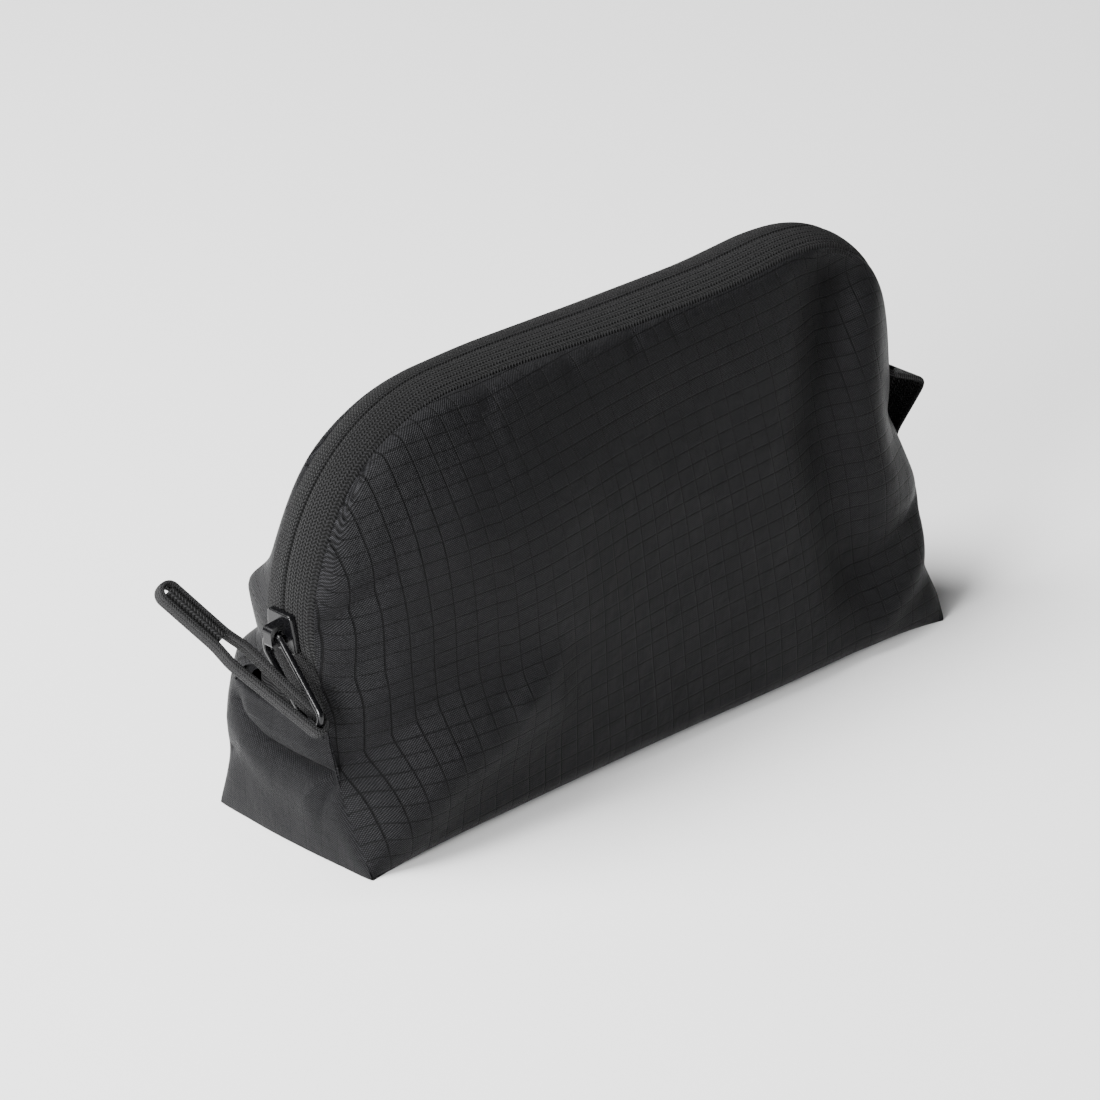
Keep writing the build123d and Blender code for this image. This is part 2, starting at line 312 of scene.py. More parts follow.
def front_folds(x, z):
    """How far the front panel stands out of its smooth shape."""
    out = 8.0 * np.exp(-((x + 44) / 38) ** 2 - ((z - 74) / 36) ** 2)
    out += 1.8 * np.exp(-((x + 72) / 13) ** 2 - ((z - 80) / 11) ** 2)
    out -= crease(x, z, [(-107, 62), (-101, 67), (-93, 73), (-85, 78)], (3.2, 0), (2.0, 3.6))
    out += crease(x, z, [(-104, 74), (-92, 82)], (1.6, 0.5), (4.5, 5.0))
    out -= crease(x, z, [(-106, 22), (-99, 26), (-92, 31), (-84, 36), (-75, 41), (-56, 47)], (4.2, 0),
                  (2.0, 6.5))
    out -= crease(x, z, [(-104, 30), (-92, 38), (-78, 46), (-58, 54)], (4.6, 0.6), (9, 10), 2)
    out += crease(x, z, [(-94, 12), (-80, 20), (-64, 26), (-48, 31)], (5.5, 3.6), (10, 9), 2)
    out += crease(x, z, [(-58, 33), (-50, 38), (-44, 42)], (1.6, 0.8), (4, 4), 2)
    out -= crease(x, z, [(-105, 44), (-97, 52), (-86, 62)], (1.8, 0.2), (4.5, 7), 2)
    out -= crease(x, z, [(-104, 11), (-98, 14), (-90, 16)], (1.4, 0), (1.8, 3.6))
    out -= crease(x, z, [(-22, 112), (-23, 106), (-28, 100)], (1.5, 0), (2.4, 4.0))
    out -= crease(x, z, [(2, 112), (0, 107), (-2, 102)], (1.6, 0), (1.5, 2.8))
    out -= crease(x, z, [(14, 112), (15, 108), (16, 104)], (1.1, 0), (1.5, 2.2))
    out -= crease(x, z, [(-50, 112), (-55, 104), (-63, 97)], (1.2, 0), (3.0, 5.0))
    out -= crease(x, z, [(78, 104), (70, 86), (64, 69), (65, 49), (72, 28)], (6.0, 4.5), (11, 12), 2)
    out += crease(x, z, [(90, 92), (84, 68), (85, 50)], (1.8, 1.4), (8, 8), 2)
    out += crease(x, z, [(80, 8), (92, 16), (104, 25)], (2.0, 2.6), (5, 5), 2)
    out -= crease(x, z, [(76, 24), (90, 31), (106, 36)], (0.5, 3.0), (6, 3))
    out -= crease(x, z, [(84, 4), (96, 9), (106, 14)], (0, 1.2), (4, 2.5))
    out -= crease(x, z, [(104, 62), (96, 58), (88, 50)], (2.0, 0), (2.5, 6))
    return out + ripple(x, z, 3, 46, 0.9) + ripple(x, z, 5, 17, 0.16)


def back_folds(x, z):
    """How far the back panel stands out of its smooth shape."""
    out = crease(x, z, [(-101, 61), (-100, 50), (-97, 34)], (8.0, 2.6), (7.5, 9), 2)
    out -= crease(x, z, [(-105, 20), (-96, 25), (-84, 34), (-70, 40)], (2.6, 0), (2.4, 7))
    out += crease(x, z, [(-84, 20), (-66, 28), (-46, 34)], (1.5, 1.2), (7, 8), 2)
    out -= crease(x, z, [(105, 24), (97, 29), (86, 37), (70, 44)], (2.8, 0), (2.4, 7))
    out += crease(x, z, [(98, 42), (84, 50), (66, 54)], (1.6, 0.6), (5, 8), 2)
    out -= crease(x, z, [(106, 64), (98, 70), (90, 75)], (1.8, 0), (2.2, 4))
    out -= crease(x, z, [(-48, 104), (-40, 78), (-44, 50), (-54, 26)], (1.6, 1.6), (9, 10), 2)
    out -= crease(x, z, [(30, 112), (28, 105), (24, 98)], (0.9, 0), (2.4, 4))
    out -= crease(x, z, [(-12, 112), (-10, 106), (-4, 101)], (0.8, 0), (2, 3.4))
    out += 1.4 * np.exp(-((x - 34) / 22) ** 2 - ((z - 70) / 18) ** 2)
    return out + ripple(x, z, 11, 44, 1.0) + ripple(x, z, 13, 18, 0.16)


def panel(face, columns, rows):
    """The front or back panel as a grid from the zip down to the bottom edge."""
    across = np.sign(columns) * (1 - (1 - np.abs(columns)) ** 1.25)
    lengths = MID_CORNER + (across + 1) / 2 * (ZIP_LENGTH - 2 * MID_CORNER)
    top = tape_seam(lengths, face)
    wave = 0.7 * ripple(across * HALF_LENGTH, 0 * across, 21, 60, 1.0)
    left, right = (gusset_seam(side, face, np.array([0.0]))[0] for side in (-1, 1))
    along = left[0] + (right[0] - left[0]) * (across + 1) / 2
    deep = HALF_DEPTH - 0.1 - wave * (1 - across ** 6)
    deep += (np.where(across < 0, abs(left[1]), abs(right[1])) - deep) * across ** 12
    bottom = np.stack([along, face * deep, 0.05 + 0 * across], axis=-1)
    down = rows ** 1.08
    sides = {side: body_edge(side, face, down) for side in (-1, 1)}
    base = top[None] + (bottom - top)[None] * down[:, None, None]
    points = base.copy()
    for side in (-1, 1):
        edge = 0 if side < 0 else -1
        away = sides[side] - base[:, edge]
        near = np.abs(base[:, :, 0] - base[:, edge, 0][:, None])
        fade_y = np.exp(-(near / 12) ** 1.2)[..., None]
        fade_x = np.exp(-(near / 42) ** 2)[..., None]
        fade = np.concatenate([fade_x, fade_y, fade_x], axis=2)
        points += fade * away[:, None]
    x, z = points[..., 0], points[..., 2]
    from_side = np.minimum(*(np.linalg.norm(points - sides[side][:, None], axis=2) for side in (-1, 1)))
    from_top = np.linalg.norm(points - top[None], axis=2)
    near_edge = np.minimum(from_side, from_top)
    rest = np.clip(1 - down[:, None], 0, 1)
    belly = 5.4 * np.sin(pi * np.clip(down, 0, 1))[:, None] ** 0.8 * (1 - across[None] ** 8)
    shoulder = 1.5 * (1 - np.exp(-near_edge / 1.5))
    folds = front_folds(x, z) if face < 0 else back_folds(x, z)
    held = (1 - np.exp(-near_edge / 2.2)) * (1 - np.exp(-(rest * TOP) / 9))
    out = belly + shoulder * (1 - np.exp(-rest * TOP / 4)) + folds * held
    lean = eased(rest, [0, 0.5, 1], [0.05, 0.15, 0.45])
    points[..., 1] += face * out * np.sqrt(1 - lean ** 2)
    points[..., 2] += out * lean
    return points


def body_grid(count, front_rows, bottom_rows):
    """The body cloth: the front panel, the bottom and the back panel in one piece."""
    columns = np.linspace(-1, 1, count)
    front = panel(-1, columns, np.linspace(0, 1, front_rows))
    back = panel(1, columns, np.linspace(0, 1, front_rows))[::-1]
    share = np.linspace(0, 1, bottom_rows)[1:-1, None, None]
    bottom = front[-1][None] * (1 - share) + back[0][None] * share
    bottom[..., 2] += 0.6 * np.sin(pi * share[..., 0]) * (1 - columns[None] ** 6)
    grid = np.concatenate([front, bottom, back])
    reach = 4  # rows that each bottom edge's bend takes
    loose = (1 - np.abs(columns) ** 5)[:, None]
    for edge in (front_rows - 1, front_rows + bottom_rows - 2):
        first, last, turn = grid[edge - reach], grid[edge + reach], grid[edge]
        for step in range(-reach, reach + 1):
            t = (step + reach) / (2 * reach)
            soft = (1 - t) ** 2 * first + 2 * t * (1 - t) * turn + t ** 2 * last
            grid[edge + step] += (soft - grid[edge + step]) * loose
    return grid


def body_flat(grid, front_rows):
    """Flat coordinates of the body cloth, with its grain leaning a little."""
    step = np.hypot(np.diff(grid[..., 1], axis=0), np.diff(grid[..., 2], axis=0))
    run = np.concatenate([np.zeros((1, grid.shape[1])), np.cumsum(step, axis=0)])
    run = run - run[front_rows - 1][None]
    lean = radians(5)
    u = grid[..., 0] * cos(lean) - run * sin(lean) * 0.9
    v = grid[..., 0] * sin(lean) * 0.4 + run
    return np.stack([u, v], axis=-1)


def gusset_out(side, y, z):
    """How far an end gusset stands out of the plane between its seams."""
    low = np.clip(z / MOUTH, 0, 1)
    out = 1.3 * (1 - np.exp(-(MOUTH - z) / 12)) * np.sin(pi * low) + 0.6
    if side < 0:
        out -= crease(y, z, [(21, 33), (17, 29.5), (11, 26.5), (2, 24.8), (-13, 23.5)],
                      (1.8, 3.0), (1.8, 2.2))
        out += crease(y, z, [(15, 33.5), (6, 31), (-6, 30)], (1.5, 1.6), (3.4, 3.6), 2)
        out += crease(y, z, [(17, 22), (6, 18), (-6, 15)], (1.9, 1.4), (6, 7), 2)
        out += crease(y, z, [(-11, 22), (-7, 16), (-3, 11)], (1.0, 0), (1.2, 2.5))
        out -= crease(y, z, [(-14, 21), (-11, 14), (-10, 7)], (1.4, 0), (1.8, 3.5))
        out -= crease(y, z, [(24, 18), (20, 20), (14, 21)], (1.4, 0), (2, 4))
    else:
        out -= crease(y, z, [(-20, 24), (-8, 22), (6, 23), (20, 21)], (2.6, 2.2), (2.4, 2.4))
        out += crease(y, z, [(-10, 31), (8, 31)], (1.4, 1.4), (4, 4), 2)
        out += crease(y, z, [(-8, 14), (8, 12)], (1.6, 1.6), (7, 7), 2)
        out += crease(y, z, [(20, 21), (14, 14), (12, 8)], (1.0, 0), (1.4, 3))
    return out + ripple(y, z, 31 if side < 0 else 37, 24, 0.5)


def gusset_surface(side, shares, heights):
    """Points of an end gusset: shares run from its front seam to its back seam."""
    front = gusset_seam(side, -1, heights)
    back = gusset_seam(side, 1, heights)
    t = shares[None, :, None]
    points = front[:, None] * (1 - t) + back[:, None] * t
    y, z = points[..., 1], points[..., 2]
    wide = (back[:, 1] - front[:, 1])[:, None]
    near_edge = np.minimum(shares, 1 - shares)[None] * wide
    held = 1 - np.exp(-near_edge / 1.6)
    raised = 1 - np.exp(-z / 2.0)
    points[..., 0] += side * gusset_out(side, y, z) * held * (0.15 + 0.85 * raised)
    points[..., 0] += side * 1.0 * np.sin(pi * shares)[None] * np.exp(-z / 9)
    sag = np.sin(pi * shares)[None] * np.clip((heights / MOUTH) ** 3, 0, 1)[:, None]
    points[..., 2] -= sag * (1.8 if side < 0 else 1.0)
    points[..., 0] += side * sag * 1.5
    return points


def gusset_grid(side):
    """An end gusset as a grid, with its columns closer together near the seams."""
    shares = 0.5 - 0.5 * np.cos(np.linspace(0.06, pi - 0.06, 84)) / cos(0.06)
    heights = np.linspace(0.2, MOUTH - 0.4, 72)
    return gusset_surface(side, np.clip(shares, 0, 1), heights)


def tape_grid(face, slot):
    """One zip tape from its folded edge at the slot out to its seam."""
    s = np.linspace(-5.0, ZIP_LENGTH + 5.0, 420)
    seam = tape_seam(np.clip(s, 0, ZIP_LENGTH), face)
    share = s / ZIP_LENGTH
    seam_drop = eased(share, SEAM_SHARE, SEAM_DROP, 0.03)
    wide = np.abs(seam[:, 1])
    steps = np.r_[0, 0.0, 0.0, 0.1, 0.25, 0.4, 0.55, 0.7, 0.84, 0.93, 0.975, 1.0]
    edge_drop = np.r_[1.5, 0.7, 0.18, 0, 0, 0, 0, 0, 0.05, 0.25, 0.8, 1.7]
    edge_y = np.r_[0.28, 0.0, 0.06, 0, 0, 0, 0, 0, 0, 0, 0, -0.1]
    near_end = np.minimum(s, ZIP_LENGTH - s)
    wing = eased(near_end, [-5, 5, 13], [6.5, 6.0, 0], 2)  # fills the gusset's mouth beside the tape
    if face > 0:
        wing = wing + eased(s, [-5, 4, 11], [4.5, 4.0, 0], 2)
    columns = []
    under = sum(eased(run, [-5, 8, 20], [2.4, 1.2, 0], 3) for run in (s, ZIP_LENGTH - s))
    for t, extra, shift in zip(steps, edge_drop, edge_y):
        y = slot / 2 + (wide - slot / 2) * t + shift + wing * t ** 6
        drop = seam_drop * t ** 2 * 0.9 + extra
        drop = drop + 0.12 * ripple(s, y, 41 + (face > 0), 34, 1.0) * (0.2 < t < 0.95)
        x, z, _, _ = zip_line(np.clip(s, 0, None), drop + under)
        past = np.where(s < 0, s, 0) - np.where(s > ZIP_LENGTH, s - ZIP_LENGTH, 0)
        columns.append(np.stack([x, face * y, z + past], axis=1))
    points = np.stack(columns, axis=1)
    across = np.r_[-2.0, -1.0, -0.4, steps[3:] * 9.5]
    flat = np.stack(np.broadcast_arrays(across[None], s[:, None]), axis=-1)
    return points, flat


# ---------------------------------------------------------------- materials

SMOOTH = {"interpolation_type": "SMOOTHSTEP"}
COLOUR = {"data_type": "RGBA", "out": 2}  # a Mix node for colours, and its colour output


def fill(node, inputs):
    """Gives a node's inputs their values, or links them to other nodes' outputs."""
    for key, value in inputs.items():
        if isinstance(value, bpy.types.NodeSocket):
            node.id_data.links.new(value, node.inputs[key])
        else:
            node.inputs[key].default_value = value


def add_node(tree, kind, inputs=(), out=0, **settings):
    """Adds a shader node with its settings and inputs, and gives one of its outputs."""
    node = tree.nodes.new("ShaderNode" + kind)
    for key, value in settings.items():
        setattr(node, key, value)
    fill(node, dict(inputs))
    return node.outputs[out]


def new_material(name):
    """An empty material, the maker of its nodes, and its shader."""
    material = bpy.data.materials.new(name)
    material.use_nodes = True
    tree = material.node_tree
    return material, partial(add_node, tree), tree.nodes["Principled BSDF"]


def flat_axes(node):
    """A sheet's flat place in millimetres, and its two parts."""
    vector = node("UVMap", uv_map="flat_mm")
    parts = node("SeparateXYZ", {0: vector}).node
    return vector, parts.outputs[0], parts.outputs[1]


def wave(node, value, pitch):
    """A sine of a length in millimetres, from -1 to 1."""
    turns = node("Math", {0: value, 1: 2 * pi / pitch}, operation="MULTIPLY")
    return node("Math", {0: turns}, operation="SINE")


def scaled(colour, factor):
    """A linear colour made lighter or darker."""
    return tuple(c * factor for c in colour[:3]) + (1.0,)


def ripstop_material(name, looks, lines=1.0):
    """Ripstop nylon: a plain weave with a soft sheen, in a grid of thicker threads.

    The weave's pitch is several times the real one, so that it shows. Its raised threads carry a
    painted glint and its hollows painted shade. Each cell's border is a dark line of painted
    shadow, because its thick threads throw a shadow beside them.
    """
    material, node, shader = new_material(name)
    vector, u, v = flat_axes(node)
    threads = {0: wave(node, u, looks.thread), 1: wave(node, v, looks.thread)}
    weave = node("Math", threads, operation="MULTIPLY")
    upright = node("Math", {0: u, 1: looks.cell_wide / 2}, operation="PINGPONG")
    upright = node("MapRange", {0: upright, 1: 0.10, 2: 0.28, 3: 1.0, 4: 0.0}, **SMOOTH)
    level = node("Math", {0: v, 1: looks.cell_high / 2}, operation="PINGPONG")
    level = node("MapRange", {0: level, 1: 0.10, 2: 0.26, 3: 0.8, 4: 0.0}, **SMOOTH)
    grid = node("Math", {0: upright, 1: level}, operation="MAXIMUM")
    cloudy = node("TexNoise", {"Vector": vector, "Scale": 0.05, "Detail": 3.0})
    slub = node("TexNoise", {"Vector": vector, "Scale": 1.3, "Detail": 2.0})
    soft = node("TexNoise", {"Vector": vector, "Scale": 0.16, "Detail": 4.0, "Roughness": 0.55})

    tone = node("Mix", {0: cloudy, 6: tuple(looks.nylon), 7: tuple(looks.nylon_light)}, **COLOUR)
    # Painted light: the colour 5.5 times lighter than the nylon is a painted glint on the raised threads,
    # and the colour 0.25 times the nylon is painted shade in the weave's hollows and a painted shadow along
    # the cell borders.
    dark, painted_glint = scaled(looks.nylon, 0.25), scaled(looks.nylon_light, 5.5)
    raised = node("Math", {0: slub, 1: 1.1, 2: weave}, operation="MULTIPLY_ADD")
    raised = node("MapRange", {0: raised, 1: 0.4, 2: 1.5, 3: 0.0, 4: 0.85}, **SMOOTH)
    sunk = node("MapRange", {0: weave, 1: -0.9, 2: 0.0, 3: 0.8, 4: 0.0}, **SMOOTH)
    border = node("Math", {0: grid, 1: 0.85 * lines}, operation="MULTIPLY")
    # Lays on the painted glint where threads are raised, then painted shade in the hollows and painted
    # shadow along the cell borders.
    for share, colour in ((raised, painted_glint), (sunk, dark), (border, dark)):
        tone = node("Mix", {0: share, 6: tone, 7: colour}, **COLOUR)

    rough = node("Math", {0: slub, 1: 0.3}, operation="MULTIPLY")
    rough = node("Math", {0: cloudy, 1: rough}, operation="ADD")
    rough = node("MapRange", {0: rough, 1: 0.3, 2: 1.0, 3: 0.36, 4: 0.5}, **SMOOTH)
    height = node("Math", {0: grid, 1: -1.2 * lines}, operation="MULTIPLY")
    height = node("Math", {0: weave, 1: 0.5, 2: height}, operation="MULTIPLY_ADD")
    height = node("Math", {0: slub, 1: 0.6, 2: height}, operation="MULTIPLY_ADD")
    fine = node("Bump", {"Strength": 0.8, "Distance": 0.00022, "Height": height})
    bump = node("Bump", {"Strength": 0.6, "Distance": 0.0014, "Height": soft, "Normal": fine})
    fill(shader, {"Base Color": tone, "Roughness": rough, "Normal": bump, "Sheen Weight": 0.02,
                  "Sheen Roughness": 0.4, "Specular IOR Level": 0.06})
    return material


def tape_material(name, looks):
    """Knitted polyester zip tape: matt, in rows of small slanted stitches that turn at each rib."""
    material, node, shader = new_material(name)
    vector, u, v = flat_axes(node)
    rib, row = 0.85, 1.0  # millimetres
    slant = node("Math", {0: u, 1: rib}, operation="PINGPONG")
    along = node("Math", {0: slant, 1: 0.7, 2: v}, operation="MULTIPLY_ADD")
    rows, ribs = wave(node, along, row), wave(node, u, rib)
    wander = node("TexNoise", {"Vector": vector, "Scale": 1.1, "Detail": 3.0, "Roughness": 0.65})
    loops = node("Math", {0: ribs, 1: 0.45, 2: rows}, operation="MULTIPLY_ADD")
    loops = node("Math", {0: wander, 1: 2.6, 2: loops}, operation="MULTIPLY_ADD")
    # Painted light: where the stitches' loops stand high the tape takes its lighter colour as painted light,
    # and the gaps between them take the darker one as painted shade.
    light = node("MapRange", {0: loops, 1: 0.7, 2: 2.1}, **SMOOTH)
    dark = tuple(looks.tape_dark)
    tone = node("Mix", {0: light, 6: dark, 7: tuple(looks.tape)}, **COLOUR)
    cloudy = node("TexNoise", {"Vector": vector, "Scale": 0.07, "Detail": 2.0})
    cloudy = node("Math", {0: cloudy, 1: 0.35}, operation="MULTIPLY")
    tone = node("Mix", {0: cloudy, 6: tone, 7: dark}, **COLOUR)
    bump = node("Bump", {"Strength": 0.9, "Distance": 0.0003, "Height": loops})
    fill(shader, {"Base Color": tone, "Roughness": 0.8, "Normal": bump, "Sheen Weight": 0.03,
                  "Sheen Roughness": 0.5, "Specular IOR Level": 0.1})
    return material


def webbing_material(name, looks, pitch=0.9):
    """Narrow woven nylon webbing: ribs across it and fine cords along it, pitch in millimetres."""
    material, node, shader = new_material(name)
    vector, u, v = flat_axes(node)
    half = node("Math", {0: u, 1: pitch}, operation="PINGPONG")
    along = node("Math", {0: half, 1: 0.9, 2: v}, operation="MULTIPLY_ADD")
    ribs, cords = wave(node, along, pitch), wave(node, u, pitch * 1.1)
    uneven = node("TexNoise", {"Vector": vector, "Scale": 2.2, "Detail": 2.0})
    height = node("Math", {0: cords, 1: 0.6, 2: ribs}, operation="MULTIPLY_ADD")
    height = node("Math", {0: uneven, 1: 0.8, 2: height}, operation="MULTIPLY_ADD")
    # Painted light: where the ribs and cords stand highest the webbing takes its lighter colour as painted
    # light, and between them the darker one as painted shade.
    light = node("MapRange", {0: height, 1: -1.0, 2: 1.8}, **SMOOTH)
    tone = node("Mix", {0: light, 6: tuple(looks.webbing_dark), 7: tuple(looks.webbing)}, **COLOUR)
    bump = node("Bump", {"Strength": 0.8, "Distance": 0.00022, "Height": height})
    fill(shader, {"Base Color": tone, "Roughness": 0.62, "Normal": bump, "Sheen Weight": 0.03,
                  "Sheen Roughness": 0.4, "Specular IOR Level": 0.15})
    return material


def enamel_material(name, looks):
    """Glossy black enamel on die-cast zinc: smooth with a faint swell, so its glints wander."""
    material, node, shader = new_material(name)
    place = node("TexCoord", out="Object")
    uneven = node("TexNoise", {"Vector": place, "Scale": 900.0, "Detail": 3.0})
    swell = node("TexNoise", {"Vector": place, "Scale": 260.0, "Detail": 2.0})
    tone = node("Mix", {0: uneven, 6: tuple(looks.enamel), 7: scaled(looks.enamel, 1.8)}, **COLOUR)
    rough = node("MapRange", {0: uneven, 1: 0.3, 2: 0.8, 3: 0.20, 4: 0.34}, **SMOOTH)
    bump = node("Bump", {"Strength": 0.12, "Distance": 0.0002, "Height": swell})
    fill(shader, {"Base Color": tone, "Roughness": rough, "Normal": bump, "Coat Weight": 0.12,
                  "Coat Roughness": 0.1, "Specular IOR Level": 0.3})
    return material


def nylon_coil_material(name, looks):
    """Extruded nylon of the zip's coils: black and satin."""
    material, node, shader = new_material(name)
    place = node("TexCoord", out="Object")
    uneven = node("TexNoise", {"Vector": place, "Scale": 700.0, "Detail": 2.0})
    tone = node("Mix", {0: uneven, 6: tuple(looks.enamel), 7: tuple(looks.webbing_dark)}, **COLOUR)
    rough = node("MapRange", {0: uneven, 1: 0.3, 2: 0.8, 3: 0.35, 4: 0.5}, **SMOOTH)
    fill(shader, {"Base Color": tone, "Roughness": rough})
    return material


def thread_material(name, looks):
    """Twisted polyester sewing thread: its strands are lighter on top and dark between."""
    material, node, shader = new_material(name)
    place = node("TexCoord", out="Object")
    twist = node("TexNoise", {"Vector": place, "Scale": 2600.0, "Detail": 2.0})
    # Painted shade: the twist noise mixes the grey thread towards the ripstop's near-black colour, as
    # painted shade between the strands.
    colours = {6: tuple(looks.thread_colour), 7: tuple(looks.nylon_light)}
    tone = node("Mix", {0: twist, **colours}, **COLOUR)
    bump = node("Bump", {"Strength": 0.5, "Distance": 0.0001, "Height": twist})
    fill(shader, {"Base Color": tone, "Roughness": 0.6, "Normal": bump})
    return material


def floor_material(name, looks):
    """Pale matt paper."""
    material, node, shader = new_material(name)
    place = node("TexCoord", out="Object")
    cloudy = node("TexNoise", {"Vector": place, "Scale": 3.0, "Detail": 2.0})
    tone = node("Mix", {0: cloudy, 6: tuple(looks.floor), 7: scaled(looks.floor, 0.985)}, **COLOUR)
    fill(shader, {"Base Color": tone, "Roughness": 0.9})
    return material


def kept_material(maker, name, *extra):
    """The material of that name, made once."""
    found = bpy.data.materials.get(name)
    return found or maker(name, bpy.context.scene.pouch_looks, *extra)


# ---------------------------------------------------------------- settings

class PouchShape(bpy.types.PropertyGroup):
    cloth_thickness: bpy.props.FloatProperty(
        name="Cloth thickness", description="Thickness of the outer fabric", default=0.0004, unit="LENGTH",
        precision=5)
    tape_thickness: bpy.props.FloatProperty(
        name="Tape thickness", description="Thickness of the zip tapes", default=0.0007, unit="LENGTH",
        precision=5)
    slot: bpy.props.FloatProperty(
        name="Zip slot", description="Gap between the two tapes", default=0.0009, unit="LENGTH", precision=5)
    stitch: bpy.props.FloatProperty(
        name="Stitch", description="Length of one stitch on the gussets", default=0.0026, unit="LENGTH",
        precision=5)


def colour_property(name, description, text):
    return bpy.props.FloatVectorProperty(
        name=name, description=description, default=hex_colour(text), size=4, min=0.0, max=1.0,
        subtype="COLOR")


class PouchLooks(bpy.types.PropertyGroup):
    nylon: colour_property("Nylon", "Main colour of the ripstop", "#0a0a0b")
    nylon_light: colour_property("Nylon, lighter", "Lighter patches of the ripstop", "#0d0d0e")
    # tape and tape_dark are one black thread in painted light and painted shade: the lighter colour on the
    # raised threads, the darker in the gaps between them.
    tape: colour_property("Tape", "Raised threads of the zip tape", "#1c1c1d")
    tape_dark: colour_property("Tape, darker", "Gaps between the tape's threads", "#040404")
    # webbing and webbing_dark are likewise painted light on the raised threads and painted shade in the gaps
    # between them.
    webbing: colour_property("Webbing", "Raised threads of the webbing", "#1e1e1f")
    webbing_dark: colour_property("Webbing, darker", "Gaps between the webbing's threads", "#060606")
    enamel: colour_property("Enamel", "Glossy black of the slider and ring", "#050506")
    thread_colour: colour_property("Thread", "Sewing thread", "#606062")
    floor: colour_property("Floor", "The floor under the pouch", "#f2f2f2")
    thread: bpy.props.FloatProperty(
        name="Thread pitch", description="Pitch of the weave in millimetres", default=0.62)
    cell_wide: bpy.props.FloatProperty(
        name="Cell width", description="Width of a ripstop cell in millimetres", default=5.8)
    cell_high: bpy.props.FloatProperty(
        name="Cell height", description="Height of a ripstop cell in millimetres", default=4.2)


class PouchStage(bpy.types.PropertyGroup):
    azimuth: bpy.props.FloatProperty(
        name="Azimuth", description="Direction that the camera looks from", default=radians(-44.0),
        subtype="ANGLE")
    elevation: bpy.props.FloatProperty(
        name="Elevation", description="Height of the camera above the horizon", default=radians(25.66),
        subtype="ANGLE")
    distance: bpy.props.FloatProperty(
        name="Distance", description="From the camera to the pouch", default=1.4, unit="LENGTH")
    lens: bpy.props.FloatProperty(
        name="Lens", description="Focal length", default=175.5, unit="CAMERA")
    light: bpy.props.FloatProperty(
        name="Light", description="Strength of the lamps", default=1.0, min=0.0)


# ---------------------------------------------------------------- pieces

def build_body_cloth():
    shape = bpy.context.scene.pouch_shape
    rows, bottom = 84, 26
    grid = body_grid(188, rows, bottom)
    piece = grid_piece("body_cloth", grid, body_flat(grid, rows))
    thicken(piece, shape.cloth_thickness / MM)
    smooth(piece)
    dress(piece, "bag", "ripstop_nylon", kept_material(ripstop_material, "ripstop_nylon_body"), "body_panel")


def build_gussets():
    shape = bpy.context.scene.pouch_shape
    for side, word in ((-1, "left"), (1, "right")):
        grid = gusset_grid(side)
        piece = grid_piece("gusset_cloth_" + word, grid, grid[..., 1:], flip=side > 0)
        thicken(piece, shape.cloth_thickness / MM)
        smooth(piece)
        dress(piece, "bag", "ripstop_nylon", kept_material(ripstop_material, "ripstop_nylon_ends", 0.25),
              "end_gusset_" + word)


def hem_grid(side):
    """Lines along a gusset's mouth: outside, over the fold and down inside."""
    shares = np.linspace(0.03, 0.97, 60)
    levels = [MOUTH - 5.2, MOUTH - 4.9, MOUTH - 3.6, MOUTH - 2.2, MOUTH - 1.0, MOUTH - 0.4]
    outs = [0.05, 0.30, 0.42, 0.30, 0.42, 0.40]
    rows = []
    for level, out in zip(levels, outs):
        line = gusset_surface(side, shares, np.array([level]))[0]
        line[:, 0] += side * out
        rows.append(line)
    top = gusset_surface(side, shares, np.array([MOUTH - 0.4]))[0]
    for out, up in ((0.1, 0.55), (-0.45, 0.62), (-0.85, 0.2), (-0.95, -0.8), (-1.0, -3.5)):
        line = top.copy()
        line[:, 0] += side * out
        line[:, 2] += up
        rows.append(line)
    return np.stack(rows)


def build_hems():
    for side, word in ((-1, "left"), (1, "right")):
        grid = hem_grid(side)
        step = np.linalg.norm(np.diff(grid, axis=0), axis=2)
        run = np.concatenate([np.zeros((1, grid.shape[1])), np.cumsum(step, axis=0)])
        flat = np.stack([grid[..., 1], 20 - run], axis=-1)
        piece = grid_piece("gusset_fold_" + word, grid, flat, flip=side > 0)
        thicken(piece, 0.35)
        soften(piece)
        finish_modifiers(piece)
        smooth(piece)
        dress(piece, "bag", "ripstop_nylon", kept_material(ripstop_material, "ripstop_nylon_ends", 0.25),
              "gusset_hem_" + word)


def stitch_mesh(length, radius):
    """One stitch: a short bead of thread that dips at both ends."""
    select_none()
    bpy.ops.mesh.primitive_uv_sphere_add(segments=8, ring_count=6, radius=radius * MM)
    piece = bpy.context.active_object
    bpy.ops.object.mode_set(mode="EDIT")
    bpy.ops.mesh.select_all(action="SELECT")
    bpy.ops.transform.resize(value=(1.0, length / (2 * radius), 0.8))
    bpy.ops.object.mode_set(mode="OBJECT")
    return piece


